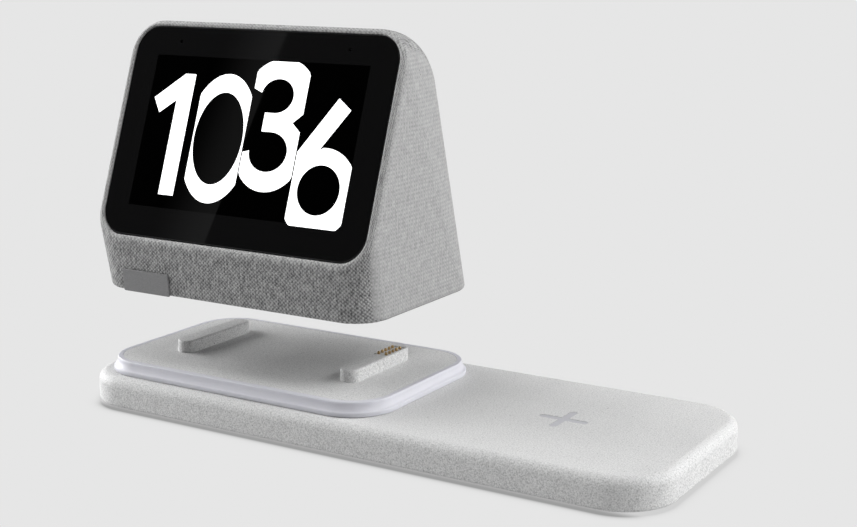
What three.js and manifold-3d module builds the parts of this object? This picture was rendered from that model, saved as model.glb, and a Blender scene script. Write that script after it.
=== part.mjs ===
// A fabric-wrapped smart display hovering over the charging dock that it drops onto.
// Millimetres. +X runs along the dock from the display's seat to the phone pad, +Y points to the
// back, +Z up. The origin is the middle of the dock's footprint, on the table.
import * as THREE from 'three';
import { ConvexGeometry } from 'three/addons/geometries/ConvexGeometry.js';
import { mergeVertices } from 'three/addons/utils/BufferGeometryUtils.js';
import Module from 'manifold-3d';

const wasm = await Module();
wasm.setup();

// ---- driving sizes -------------------------------------------------------------------------
const GAP = 0.3; // between pieces that touch
const DOCK_LENGTH = 216.4;
const DOCK_WIDTH = 81.6;
const DOCK_BOTTOM = 1.0; // the shell stands this high on its foot pad
const DOCK_TOP = 11.3;
const DOCK_CORNER = 18;
const DOCK_EDGE = 3.4; // rounding of the slab's upper edge
const DOCK_WALL = 2;
const PLINTH_MARGIN = 5.9; // from the slab's sides to the plinth's
const PLINTH_LENGTH = 111.3;
const PLINTH_WIDTH = DOCK_WIDTH - 2 * PLINTH_MARGIN;
const PLINTH_TOP = 16.1;
const PLINTH_CORNER = 14.5;
const RING_BULGE = 1.6; // the light ring leans out this much at its foot
const TAB_LENGTH = 36;
const TAB_WIDTH = 7;
const TAB_HEIGHT = 4.3;
const TAB_SPREAD = 34.8; // from the plinth's middle to each tab's
const TAB_Y = 1.7;
const PIN_ROWS = [-1.5, 1.5]; // from the middle of the right-hand tab
const PINS_IN_ROW = 5;
const PIN_PITCH = 2.15;
const PIN_Y = 10.7; // middle of the pin field
const PIN_RISE = 0.8; // above the tab
const PIN_RADIUS = 0.5;
const MARK_X = 60.2; // middle of the phone pad
const MARK_SPAN = 17;
const MARK_ARM = 2.3;

const UNIT_X = -DOCK_LENGTH / 2 + PLINTH_MARGIN + PLINTH_LENGTH / 2;
const DOCKED_CLEARANCE = 0.1; // left under the foot ring when the display is down
const LIFT = 22.2; // how high the display hovers over the docked position
// The display unit's own frame has z = 0 under its foot ring.
const SKIRT_Z = 3; // lower edge of the fabric
const SKIRT_HALF_WIDTH = 56.1;
const SKIRT_FRONT = -34.4;
const SKIRT_BACK = 34.05;
const SKIRT_CORNER = 12;
const SKIRT_EDGE = 1.5;
const FACE_HALF_WIDTH = 56.6;
const FACE_CORNER = 12.4;
const FACE_EDGE = 2.7;
const FACE_TILT = THREE.MathUtils.degToRad(20.1); // the screen leans back
const GLASS_Y = -34.2; // lower edge of the glass
const GLASS_Z = 22.6;
const GLASS_WIDTH = 107.4;
const GLASS_HEIGHT = 72.8;
const GLASS_CORNER = 9;
const GLASS_THICK = 1.1;
const RIM_BELOW = 4.6; // fabric rim under, over and in front of the glass
const RIM_ABOVE = 2.5;
const RIM_PROUD = 0.6;
const BACK_Y = -5.4; // the round top of the back
const BACK_Z = 69.3;
const BACK_RADIUS = 23;
const BACK_HALF_WIDTH = 54;
const BACK_EDGE = 10.5;
const FABRIC = 1.2;
const HOUSING_OUT = FABRIC + GAP; // depth of the housing's outside and inside below the fabric's
const HOUSING_IN = HOUSING_OUT + 2;
const ACTIVE_WIDTH = 87.1;
const ACTIVE_HEIGHT = 52.3;
const ACTIVE_FOOT = 10.4; // from the glass's lower edge to the picture's
const QUARTER = Math.PI / 2;

// ---- colours -------------------------------------------------------------------------------
const material = (color, roughness, metalness = 0) =>
  new THREE.MeshStandardMaterial({ color, roughness, metalness });
const SPECKLED = material(0xcfcfce, 0.7);
const FROSTED = material(0xc9c9d0, 0.35);
const HEATHER = material(0x9a9a9a, 0.95);
const TAG_WEAVE = material(0x6e6e6e, 0.9);
const BLACK_GLASS = material(0x0a0a0a, 0.08);
const SCREEN = material(0x050505, 0.3);
const DARK_PLASTIC = material(0x2b2b2d, 0.6);
const GREY_PLASTIC = material(0x8a8a8c, 0.6);
const RUBBER = material(0x3a3a3c, 0.9);
const BOARD = material(0x1f4a34, 0.6);
const STEEL = material(0xb8b8ba, 0.35, 1);
const ALUMINIUM = material(0xc4c6c8, 0.4, 1);
const COPPER = material(0xb5703c, 0.4, 1);
const GOLD = material(0xc9a14a, 0.3, 1);
const FERRITE = material(0x4a4a4c, 0.8);
const PAPER = material(0x34302c, 0.9);

// ---- shapes --------------------------------------------------------------------------------
// The points of a rounded rectangle, counter-clockwise, as [x, y].
function outline(width, depth, radius, steps = 6, cx = 0, cy = 0) {
  const points = [];
  for (let corner = 0; corner < 4; corner++) {
    const right = corner === 0 || corner === 3;
    const x = cx + (right ? 1 : -1) * (width / 2 - radius);
    const y = cy + (corner < 2 ? 1 : -1) * (depth / 2 - radius);
    for (let i = 0; i <= steps; i++) {
      const angle = QUARTER * (corner + i / steps);
      points.push([x + radius * Math.cos(angle), y + radius * Math.sin(angle)]);
    }
  }
  return points;
}

// A closed body through outlines with equally many points, each at its own height.
function loft(sections) {
  const count = sections[0].points.length;
  const positions = sections.flatMap(({ points, z }) => points.flatMap(([x, y]) => [x, y, z]));
  const last = (sections.length - 1) * count;
  const index = [];
  for (let i = 0; i < count; i++) {
    const next = (i + 1) % count;
    for (let level = 0; level < last; level += count) {
      const upper = level + count;
      index.push(level + i, level + next, upper + next, level + i, upper + next, upper + i);
    }
    if (i > 0 && next > 0) {
      index.push(0, next, i, last, last + i, last + next);
    }
  }
  const geometry = new THREE.BufferGeometry();
  geometry.setAttribute('position', new THREE.Float32BufferAttribute(positions, 3));
  geometry.setIndex(index);
  return geometry;
}

// An upright prism with the outline of a rounded rectangle.
function slab(width, depth, radius, low, high, { steps = 6, cx = 0, cy = 0 } = {}) {
  const points = outline(width, depth, radius, steps, cx, cy);
  return loft([{ points, z: low }, { points, z: high }]);
}

// The same with its upper edge rounded.
function pillow(width, depth, radius, low, high, edge, { steps = 6, cx = 0, cy = 0 } = {}) {
  const rounds = 3;
  const sections = [{ points: outline(width, depth, radius, steps, cx, cy), z: low }];
  for (let i = 0; i <= rounds; i++) {
    const angle = (QUARTER * i) / rounds;
    const inset = edge * (1 - Math.cos(angle));
    sections.push({
      points: outline(width - 2 * inset, depth - 2 * inset, radius - inset, steps, cx, cy),
      z: high - edge * (1 - Math.sin(angle)),
    });
  }
  return loft(sections);
}

function block(width, depth, height, x, y, z) {
  return new THREE.BoxGeometry(width, depth, height).translate(x, y, z);
}

// A cylinder or cone standing on z = low.
function rod(radius, low, high, { segments = 16, top = radius, x = 0, y = 0 } = {}) {
  return new THREE.CylinderGeometry(top, radius, high - low, segments)
    .rotateX(QUARTER)
    .translate(x, y, (low + high) / 2);
}

// A body turned round the z axis from a profile of [radius, z] that starts and ends on the axis.
function turned(profile, segments) {
  const points = profile.map(([radius, z]) => new THREE.Vector2(radius, z));
  return new THREE.LatheGeometry(points, segments).rotateX(QUARTER);
}

// ---- booleans ------------------------------------------------------------------------------
function toManifold(geometry) {
  const bare = geometry.clone();
  bare.deleteAttribute('normal');
  bare.deleteAttribute('uv');
  const merged = mergeVertices(bare, 1e-4);
  return new wasm.Manifold(
    new wasm.Mesh({
      numProp: 3,
      vertProperties: new Float32Array(merged.attributes.position.array),
      triVerts: new Uint32Array(merged.index.array),
    }),
  );
}

function toGeometry(body) {
  const mesh = body.getMesh();
  const geometry = new THREE.BufferGeometry();
  geometry.setAttribute('position', new THREE.BufferAttribute(mesh.vertProperties, 3));
  geometry.setIndex(new THREE.BufferAttribute(mesh.triVerts, 1));
  const flat = geometry.toNonIndexed();
  flat.computeVertexNormals();
  return flat;
}

function join(...pieces) {
  return toGeometry(pieces.map(toManifold).reduce((sum, piece) => sum.add(piece)));
}

function cut(base, ...tools) {
  const whole = toManifold(base);
  return toGeometry(tools.map(toManifold).reduce((left, tool) => left.subtract(tool), whole));
}

// ---- frames on the display unit --------------------------------------------------------------
// On the face, x runs across, y up the glass from its lower edge and z out of the screen.
const FACE = new THREE.Matrix4()
  .makeTranslation(0, GLASS_Y, GLASS_Z)
  .multiply(new THREE.Matrix4().makeRotationX(QUARTER - FACE_TILT));
// The flat back touches the round top: its lean is the tangent's from the skirt's rear edge.
const BACK_RUN = Math.hypot(SKIRT_BACK - BACK_Y, BACK_Z - SKIRT_Z);
const BACK_LEAN =
  Math.atan2(SKIRT_BACK - BACK_Y, BACK_Z - SKIRT_Z) - Math.asin(BACK_RADIUS / BACK_RUN);
// On the back, x runs to the right as seen from behind, y up from the skirt and z out of it.
const BACK = new THREE.Matrix4()
  .makeTranslation(0, SKIRT_BACK, SKIRT_Z)
  .multiply(new THREE.Matrix4().makeRotationX(BACK_LEAN - QUARTER))
  .multiply(new THREE.Matrix4().makeRotationZ(Math.PI));
// Over the round top, z points out through the volume keys from the round's middle line.
const KEY_ANGLE = THREE.MathUtils.degToRad(64);
const KEYS = new THREE.Matrix4()
  .makeTranslation(0, BACK_Y, BACK_Z)
  .multiply(new THREE.Matrix4().makeRotationX(KEY_ANGLE - QUARTER));

const onFace = (geometry) => geometry.clone().applyMatrix4(FACE);
const onBack = (geometry) => geometry.clone().applyMatrix4(BACK);
const onKeys = (geometry) => geometry.clone().applyMatrix4(KEYS);

// The display unit's outside, moved in by a depth: the hull of its tilted face, its round back
// and its foot.
function unitHull(inset) {
  const points = [];
  const levels = (edge, count) => {
    const round = Math.max(edge - inset, 0);
    const angles = Array.from({ length: round ? count : 1 }, (_, i) => (QUARTER * i) / (count - 1));
    return angles.map((angle) => ({
      across: inset + round * (1 - Math.cos(angle)),
      down: inset + round * (1 - Math.sin(angle)),
    }));
  };
  const faceHeight = GLASS_HEIGHT + RIM_BELOW + RIM_ABOVE;
  const faceMiddle = (GLASS_HEIGHT + RIM_ABOVE - RIM_BELOW) / 2;
  for (const { across, down } of levels(FACE_EDGE, 3)) {
    const width = 2 * (FACE_HALF_WIDTH - across);
    const height = faceHeight - 2 * across;
    for (const [x, y] of outline(width, height, FACE_CORNER - across, 6, 0, faceMiddle)) {
      points.push(new THREE.Vector3(x, y, RIM_PROUD - down).applyMatrix4(FACE));
    }
  }
  for (const { across, down } of levels(SKIRT_EDGE, 3)) {
    const width = 2 * (SKIRT_HALF_WIDTH - across);
    const depth = SKIRT_BACK - SKIRT_FRONT - 2 * across;
    const middle = (SKIRT_BACK + SKIRT_FRONT) / 2;
    for (const [x, y] of outline(width, depth, SKIRT_CORNER - across, 6, 0, middle)) {
      points.push(new THREE.Vector3(x, y, SKIRT_Z + down));
    }
  }
  const arcSteps = 10;
  for (const { across, down } of levels(BACK_EDGE, 5)) {
    for (let i = 0; i <= arcSteps; i++) {
      const angle = BACK_LEAN + ((QUARTER - BACK_LEAN) * i) / arcSteps;
      const y = BACK_Y + (BACK_RADIUS - across) * Math.cos(angle);
      const z = BACK_Z + (BACK_RADIUS - across) * Math.sin(angle);
      points.push(new THREE.Vector3(BACK_HALF_WIDTH - down, y, z));
      points.push(new THREE.Vector3(down - BACK_HALF_WIDTH, y, z));
    }
  }
  return new ConvexGeometry(points);
}

// ---- display unit ----------------------------------------------------------------------------
const SKIRT_WIDTH = 2 * SKIRT_HALF_WIDTH;
const SKIRT_DEPTH = SKIRT_BACK - SKIRT_FRONT;
const SKIRT_MIDDLE = (SKIRT_BACK + SKIRT_FRONT) / 2;
const GLASS_MIDDLE = GLASS_HEIGHT / 2;
const MIC_X = 34.6;
const MIC_UP = 67.7;
const PANEL = { width: 95, height: 57.6, middle: ACTIVE_FOOT + ACTIVE_HEIGHT / 2 };
const FRAME_WIDTH = 102.4;
const FRAME_HEIGHT = 69;
// The layers behind the glass's face: how far back each ends and starts.
const LAYER = {
  frame: [-4.6, -1.4],
  panel: [-3.6, -1.4],
  tray: [-4.9, -3.9],
  spreader: [-6.7, -5.5],
  shield: [-9.5, -7],
  board: [-11.3, -9.8],
};
const MICROPHONE = { radius: 1.4, back: -2.9, front: -1.4, pinhole: 0.55 };
const PORT = { width: 44, height: 11, up: 12.5, corner: 3 };
const JACK_SIDE = -12; // on the back, seen from behind
const MUTE_SIDE = 10;
const MUTE_TRAVEL = 3;
const SPEAKER_UP = 43;
const KEY = { spread: 15, width: 12, depth: 5, proud: 0.5, flange: 1, root: 18.3 };
const GRILLE = { rows: [-2, -1, 0, 1, 2], pitch: 5, width: 30, height: 2.4 };
const WRAP_UNDER = 4.5; // the fabric folds this far under the skirt
const LAND_CORNER = 27; // wide corner lands in the housing's floor take the screws
const SCREW_X = 44;
const SCREW_Y = 21.5;
const COVER_STEP = SKIRT_Z + FABRIC; // the cover's rim lies flush in the fabric's opening
const COVER_TOP = SKIRT_Z + 3.4;
const TAB_CEILING = TAB_HEIGHT + 0.4; // of the recesses that the dock's tabs enter
const PAD_FLOOR = TAB_HEIGHT + PIN_RISE + 0.1; // the contact board lies above the pins' tips
const SCREW_SHOULDER = SKIRT_Z + 0.75;
const COVER_SCREW = { shank: 1, pilot: 1.15, clearance: 1.25, head: 2.2, counterbore: 2.5 };
const FOOT = { halfWidth: 43.1, front: -21.4, back: 25.05, corner: 5, width: 4 };

// A plate that follows the skirt's outline, moved in all round.
function skirtPlate(inset, corner, low, high) {
  const width = SKIRT_WIDTH - 2 * inset;
  const depth = SKIRT_DEPTH - 2 * inset;
  return slab(width, depth, corner, low, high, { cy: SKIRT_MIDDLE });
}

function glassPlate(grow, low, high) {
  const width = GLASS_WIDTH + 2 * grow;
  const height = GLASS_HEIGHT + 2 * grow;
  return onFace(slab(width, height, GLASS_CORNER + grow, low, high, { cy: GLASS_MIDDLE }));
}

function portPlate(grow, low, high) {
  const { width, height, up, corner } = PORT;
  return onBack(
    slab(width + 2 * grow, height + 2 * grow, corner + grow, low, high, { steps: 3, cy: up }),
  );
}

function keyHoles() {
  const across = KEY.width + 2 * GAP;
  const along = KEY.depth + 2 * GAP;
  return [-1, 1].map((side) =>
    onKeys(
      slab(across, along, along / 2 - 0.1, KEY.root - 1.3, BACK_RADIUS + 2, {
        steps: 4,
        cx: side * KEY.spread,
      }),
    ),
  );
}

const screwPlaces = () => [-1, 1].flatMap((x) => [-1, 1].map((y) => [x * SCREW_X, y * SCREW_Y]));

function fabricWrap() {
  return cut(
    unitHull(0),
    unitHull(FABRIC),
    glassPlate(GAP, -3, 3),
    skirtPlate(WRAP_UNDER, SKIRT_CORNER - WRAP_UNDER, 0, SKIRT_Z + 2 * FABRIC),
    portPlate(GAP, -4, 2),
    ...keyHoles(),
  );
}

function innerHousing() {
  const frameHole = onFace(
    slab(FRAME_WIDTH + 2 * GAP, FRAME_HEIGHT + 2 * GAP, 6, -6, 0, { cy: GLASS_MIDDLE }),
  );
  const { rows, pitch, width, height } = GRILLE;
  const slots = rows.map((row) =>
    onBack(slab(width, height, height / 2 - 0.1, -5, 0, { steps: 2, cy: SPEAKER_UP + row * pitch })),
  );
  const pilots = screwPlaces().map(([x, y]) =>
    rod(COVER_SCREW.pilot, SKIRT_Z, SKIRT_Z + HOUSING_IN + 1, { segments: 10, x, y }),
  );
  return cut(
    unitHull(HOUSING_OUT),
    unitHull(HOUSING_IN),
    glassPlate(GAP, -GLASS_THICK - GAP, 3),
    frameHole,
    skirtPlate(WRAP_UNDER + 2, LAND_CORNER, 0, SKIRT_Z + HOUSING_IN + 1),
    portPlate(GAP, -5, 2),
    ...keyHoles(),
    ...slots,
    ...pilots,
  );
}

function coverGlass() {
  const pinholes = [-MIC_X, MIC_X].map((x) =>
    onFace(rod(MICROPHONE.pinhole, -3, 1, { segments: 10, x, y: MIC_UP })),
  );
  return cut(glassPlate(0, -GLASS_THICK, 0), ...pinholes);
}

function panelFrame() {
  const { width, height, middle } = PANEL;
  const ring = slab(FRAME_WIDTH, FRAME_HEIGHT, 5.7, ...LAYER.frame, { cy: GLASS_MIDDLE });
  const window = block(width + 2 * GAP, height + 2 * GAP, 6, 0, middle, -3);
  const microphones = [-MIC_X, MIC_X].map((x) =>
    rod(MICROPHONE.radius + GAP, -6, 0, { segments: 10, x, y: MIC_UP }),
  );
  return onFace(cut(ring, window, ...microphones));
}

// A plain plate in one of the layers behind the glass.
function facePlate(width, height, up, [low, high]) {
  return onFace(block(width, height, high - low, 0, up, (low + high) / 2));
}

function backlightTray() {
  const { width, height, middle } = PANEL;
  return facePlate(width - 2 * GAP, height - 2 * GAP, middle, LAYER.tray);
}

function microphone(side) {
  const { radius, back, front } = MICROPHONE;
  return onFace(rod(radius, back, front, { segments: 10, x: side * MIC_X, y: MIC_UP }));
}

// A key's stem ends proud of the cloth, and its flange keeps it in.
function volumeKey(side) {
  const { spread, width, depth, proud, flange, root } = KEY;
  const stem = slab(width, depth, depth / 2 - 0.1, root, BACK_RADIUS + proud, {
    steps: 4,
    cx: side * spread,
  });
  const foot = block(width + 2 * flange, depth + 2 * flange, flange, side * spread, 0, root);
  return onKeys(join(stem, foot));
}

// The speaker sits behind the grille: an open box with the driver in its mouth.
const ENCLOSURE = { width: 52, height: 46, corner: 6, back: -24.5, mouth: -3.9, wall: 1.6 };
const onSpeaker = (geometry) => onBack(geometry.translate(0, SPEAKER_UP, 0));

function speakerEnclosure() {
  const { width, height, corner, back, mouth, wall } = ENCLOSURE;
  const hollow = slab(width - 2 * wall, height - 2 * wall, corner - wall, back + wall, 0, {
    steps: 3,
  });
  return onSpeaker(cut(slab(width, height, corner, back, mouth, { steps: 3 }), hollow));
}

function speakerBasket() {
  const flange = slab(44, 41.6, 5, -5.8, -4.3, { steps: 3 });
  const body = rod(12, -15, -5.8, { segments: 24, top: 20.5 });
  const hollow = rod(10.5, -14, -4, { segments: 24, top: 18.4 });
  const seat = rod(17.9, -7.2, -4, { segments: 24 });
  return onSpeaker(cut(join(flange, body), hollow, seat));
}

function speakerCone() {
  const profile = [
    [0, -12.4],
    [6, -12.9],
    [15.3, -6.9],
    [15.3, -6.3],
    [6, -12],
    [0, -11.6],
  ];
  return onSpeaker(turned(profile, 24));
}

function speakerSurround() {
  const profile = [
    [15.6, -6.9],
    [17.6, -6.9],
    [17.6, -6.3],
    [16.6, -5.6],
    [15.6, -6.3],
    [15.6, -6.9],
  ];
  return onSpeaker(turned(profile, 24));
}

function speakerMagnet() {
  return onSpeaker(rod(12, -21.5, -15.3, { segments: 24 }));
}

function rearPortPlate() {
  const hole = onBack(rod(3.2, -5, 2, { segments: 16, x: JACK_SIDE, y: PORT.up }));
  const slot = onBack(block(4.8 + MUTE_TRAVEL, 3.4, 8, MUTE_SIDE, PORT.up, -2));
  return cut(portPlate(0, -2.9, -0.2), hole, slot);
}

// A socket for a round power plug, facing +z, with its contact pin inside.
function powerSocket(width, height, length) {
  const body = block(width, height, length, 0, 0, -length / 2);
  const bore = rod(2.6, 2 - length, 1, { segments: 16 });
  const pin = rod(0.9, 1 - length, -1.5, { segments: 10 });
  return join(cut(body, bore), pin);
}

// The slider rests at the end of its slot where the microphones are on.
function muteSlider() {
  const knob = block(4, 2.6, 4.6, MUTE_SIDE - MUTE_TRAVEL / 2, PORT.up, -1.7);
  const plate = block(12, 4.6, 0.8, MUTE_SIDE - MUTE_TRAVEL / 2, PORT.up, -3.8);
  return onBack(join(knob, plate));
}

function fabricTag() {
  const chin = [SKIRT_FRONT, GLASS_Y - 1.15].map((y, i) => [y, [SKIRT_Z + SKIRT_EDGE, 18.3][i]]);
  const lean = Math.atan2(chin[0][0] - chin[1][0], chin[1][1] - chin[0][1]);
  return block(20, 0.6, 7.6, 0, -0.45, 4)
    .rotateX(lean)
    .translate(-33.2, SKIRT_FRONT, SKIRT_Z);
}

function baseCover() {
  const tabHole = (side) =>
    slab(TAB_WIDTH + 1.2, TAB_LENGTH + 1.2, TAB_WIDTH / 2 + 0.6, 0, TAB_CEILING, {
      steps: 4,
      cx: side * TAB_SPREAD,
      cy: TAB_Y,
    });
  const padRecess = block(10.4, 15.4, 4, TAB_SPREAD, PIN_Y, PAD_FLOOR + 2);
  const padWindow = block(7, 12.4, 9, TAB_SPREAD, PIN_Y, PAD_FLOOR);
  const screwHoles = screwPlaces().flatMap(([x, y]) => [
    rod(COVER_SCREW.clearance, SKIRT_Z - 1, COVER_TOP + 1, { segments: 10, x, y }),
    rod(COVER_SCREW.counterbore, SKIRT_Z - 1, SCREW_SHOULDER, { segments: 12, x, y }),
  ]);
  return cut(
    join(
      skirtPlate(WRAP_UNDER + GAP, SKIRT_CORNER - WRAP_UNDER - GAP, SKIRT_Z, COVER_STEP),
      skirtPlate(WRAP_UNDER + 2 + GAP, LAND_CORNER - GAP, COVER_STEP - 0.1, COVER_TOP),
    ),
    tabHole(-1),
    tabHole(1),
    padRecess,
    padWindow,
    ...screwHoles,
  );
}

// The rubber ring that the display stands on, round the two recesses.
function footRing() {
  const { halfWidth, front, back, corner, width } = FOOT;
  const plate = (inset, low, high) =>
    slab(2 * (halfWidth - inset), back - front - 2 * inset, corner - inset, low, high, {
      cy: (front + back) / 2,
    });
  return cut(plate(0, 0, SKIRT_Z - GAP), plate(width, -1, SKIRT_Z));
}

function coverScrew() {
  const shoulder = SCREW_SHOULDER - 0.1;
  const under = shoulder - 0.45;
  return turned(
    [
      [0, under],
      [COVER_SCREW.head, under],
      [COVER_SCREW.head, shoulder],
      [COVER_SCREW.shank, shoulder],
      [COVER_SCREW.shank, COVER_TOP - 0.4],
      [0, COVER_TOP - 0.2],
    ],
    12,
  );
}

// ---- dock ------------------------------------------------------------------------------------
const DOCK_SCREW_X = 98.5;
const DOCK_SCREW_Y = 31.5;
const USB = { x: -44, z: 5.4, width: 13.2, height: 5.6, length: 14, wall: 0.4 };
const DOCK_JACK = { x: -72, z: 6, width: 9, height: 6, length: 13 };
const PORT_FACE = DOCK_WIDTH / 2 - DOCK_WALL - GAP; // sockets start behind the shell's rear wall
const dockScrewPlaces = () =>
  [-1, 1].flatMap((x) => [-1, 1].map((y) => [x * DOCK_SCREW_X, y * DOCK_SCREW_Y]));

// A plate that follows the plinth's outline, moved in or, below zero, out.
function plinthPlate(inset, low, high) {
  const corner = Math.max(PLINTH_CORNER - inset, 3);
  return slab(PLINTH_LENGTH - 2 * inset, PLINTH_WIDTH - 2 * inset, corner, low, high, {
    cx: UNIT_X,
  });
}

// An upright plus sign with round ends.
function plusPrism(span, arm, low, high) {
  const bar = (width, depth) =>
    slab(width, depth, arm / 2 - 0.1, low, high, { steps: 3, cx: MARK_X });
  return join(bar(span, arm), bar(arm, span));
}

function dockTopShell() {
  const inner = { width: DOCK_LENGTH - 2 * DOCK_WALL, depth: DOCK_WIDTH - 2 * DOCK_WALL };
  const ceiling = DOCK_TOP - DOCK_WALL;
  const shell = cut(
    pillow(DOCK_LENGTH, DOCK_WIDTH, DOCK_CORNER, DOCK_BOTTOM, DOCK_TOP, DOCK_EDGE),
    slab(inner.width, inner.depth, DOCK_CORNER - DOCK_WALL, 0, ceiling),
  );
  const bosses = dockScrewPlaces().map(([x, y]) => rod(3.2, 2.9, ceiling + 0.5, { x, y }));
  const pilots = dockScrewPlaces().map(([x, y]) => rod(1.05, 2, 8, { segments: 10, x, y }));
  const usbHole = block(USB.width + 2 * GAP, 9, USB.height + 2 * GAP, USB.x, DOCK_WIDTH / 2, USB.z);
  const jackHole = rod(3, -5, 5, { segments: 16 })
    .rotateX(QUARTER)
    .translate(DOCK_JACK.x, DOCK_WIDTH / 2, DOCK_JACK.z);
  return cut(
    join(shell, ...bosses),
    plinthPlate(5, 8, DOCK_TOP + 1),
    plusPrism(MARK_SPAN, MARK_ARM, DOCK_TOP - 0.8, DOCK_TOP + 1),
    usbHole,
    jackHole,
    ...pilots,
  );
}

function lightRing() {
  const profile = [
    [RING_BULGE, DOCK_TOP + GAP],
    [RING_BULGE, 12.4],
    [1.3, 13.6],
    [0.75, 14.8],
    [0.2, 15.7],
    [-0.3, PLINTH_TOP],
  ];
  const sections = profile.map(([grow, z]) => ({
    points: outline(
      PLINTH_LENGTH + 2 * grow,
      PLINTH_WIDTH + 2 * grow,
      PLINTH_CORNER + grow,
      6,
      UNIT_X,
    ),
    z,
  }));
  return cut(loft(sections), plinthPlate(1.5, 14.1, 18), plinthPlate(4, 10, 15));
}

function seatPlate() {
  const tab = (side) =>
    pillow(TAB_WIDTH, TAB_LENGTH, TAB_WIDTH / 2, 15, PLINTH_TOP + TAB_HEIGHT, 0.7, {
      steps: 5,
      cx: UNIT_X + side * TAB_SPREAD,
      cy: TAB_Y,
    });
  const slot = block(5.4, 12.6, 12, UNIT_X + TAB_SPREAD, PIN_Y, 17);
  return cut(join(plinthPlate(1.8, 14.4, PLINTH_TOP), tab(-1), tab(1)), slot);
}

const pinPlaces = () =>
  PIN_ROWS.flatMap((row) =>
    Array.from({ length: PINS_IN_ROW }, (_, i) => [
      UNIT_X + TAB_SPREAD + row,
      PIN_Y + (i - (PINS_IN_ROW - 1) / 2) * PIN_PITCH,
    ]),
  );

function pinBlock() {
  const body = block(4.8, 12, 8.9, UNIT_X + TAB_SPREAD, PIN_Y, 15.75);
  const bores = pinPlaces().map(([x, y]) => rod(PIN_RADIUS + 0.12, 10, 22, { segments: 8, x, y }));
  return cut(body, ...bores);
}

function contactPin() {
  const tip = PLINTH_TOP + TAB_HEIGHT + PIN_RISE;
  return turned(
    [
      [0, 13],
      [PIN_RADIUS, 13],
      [PIN_RADIUS, tip - 0.4],
      [PIN_RADIUS * 0.7, tip - 0.1],
      [0, tip],
    ],
    8,
  );
}

function dockBase() {
  const grow = 2 * (DOCK_WALL + GAP);
  const corner = DOCK_CORNER - DOCK_WALL - GAP;
  const holes = dockScrewPlaces().flatMap(([x, y]) => [
    rod(1.2, 0, 4, { segments: 10, x, y }),
    rod(2.7, 0, 2, { segments: 12, x, y }),
  ]);
  return cut(slab(DOCK_LENGTH - grow, DOCK_WIDTH - grow, corner, 1.1, 2.6), ...holes);
}

function dockScrew() {
  return turned(
    [
      [0, 1.2],
      [2.4, 1.2],
      [2.4, 1.9],
      [0.9, 1.9],
      [0.9, 7],
      [0, 7.4],
    ],
    12,
  );
}

function usbPort() {
  const { width, height, length, wall } = USB;
  return cut(
    block(width, length, height, 0, -length / 2, 0),
    block(width - 2 * wall, length, height - 2 * wall, 0, wall - length / 2, 0),
  ).translate(USB.x, PORT_FACE, USB.z);
}

function usbTongue() {
  return block(11.2, 8, 1.8, USB.x, PORT_FACE - USB.length + 4.8, USB.z + 1.2);
}

function dockPowerJack() {
  const { x, z, width, height, length } = DOCK_JACK;
  return powerSocket(width, height, length).rotateX(-QUARTER).translate(x, PORT_FACE, z);
}

function chargingCoil() {
  return cut(rod(24, 7.9, 9, { segments: 32 }), rod(10, 7, 10, { segments: 24 })).translate(
    MARK_X,
    0,
    0,
  );
}

// ---- the assembly ----------------------------------------------------------------------------
function named(name, geometry, look, x = 0, y = 0, z = 0) {
  const mesh = new THREE.Mesh(geometry, look);
  mesh.name = name;
  mesh.position.set(x, y, z);
  return mesh;
}

const unit = new THREE.Group();
unit.name = 'display_unit';
unit.position.set(UNIT_X, 0, PLINTH_TOP + DOCKED_CLEARANCE + LIFT);
unit.add(
  named('fabric_wrap', fabricWrap(), HEATHER),
  named('inner_housing', innerHousing(), GREY_PLASTIC),
  named('cover_glass', coverGlass(), BLACK_GLASS),
  named('panel_frame', panelFrame(), DARK_PLASTIC),
  named('display_panel', facePlate(PANEL.width, PANEL.height, PANEL.middle, LAYER.panel), SCREEN),
  named('backlight_tray', backlightTray(), STEEL),
  named('heat_spreader', facePlate(84, 50, GLASS_MIDDLE, LAYER.spreader), ALUMINIUM),
  named('processor_shield', facePlate(34, 28, GLASS_MIDDLE, LAYER.shield), STEEL),
  named('main_board', facePlate(88, 54, GLASS_MIDDLE, LAYER.board), BOARD),
  named('microphone_left', microphone(-1), STEEL),
  named('microphone_right', microphone(1), STEEL),
  named('wifi_antenna', block(0.5, 24, 8, 49.5, 2, 40), COPPER),
  named('volume_down_key', volumeKey(-1), GREY_PLASTIC),
  named('volume_up_key', volumeKey(1), GREY_PLASTIC),
  named('key_board', onKeys(block(52, 9, 1.2, 0, 0, 16)), BOARD),
  named('speaker_enclosure', speakerEnclosure(), DARK_PLASTIC),
  named('speaker_basket', speakerBasket(), STEEL),
  named('speaker_cone', speakerCone(), PAPER),
  named('speaker_surround', speakerSurround(), RUBBER),
  named('speaker_magnet', speakerMagnet(), FERRITE),
  named('rear_port_plate', rearPortPlate(), GREY_PLASTIC),
  named(
    'display_power_jack',
    onBack(powerSocket(9, 8, 12).translate(JACK_SIDE, PORT.up, -3.3)),
    DARK_PLASTIC,
  ),
  named('mute_slider', muteSlider(), DARK_PLASTIC),
  named('mute_switch', onBack(block(13, 5.4, 4.4, MUTE_SIDE, PORT.up, -6.8)), STEEL),
  named('fabric_tag', fabricTag(), TAG_WEAVE),
  named('base_cover', baseCover(), GREY_PLASTIC),
  named('foot_ring', footRing(), RUBBER),
  named('contact_board', block(9.8, 14.8, 1, TAB_SPREAD, PIN_Y, PAD_FLOOR + 0.6), BOARD),
);
screwPlaces().forEach(([x, y], i) => {
  unit.add(named(`cover_screw_${i + 1}`, coverScrew(), STEEL, x, y));
});

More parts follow.
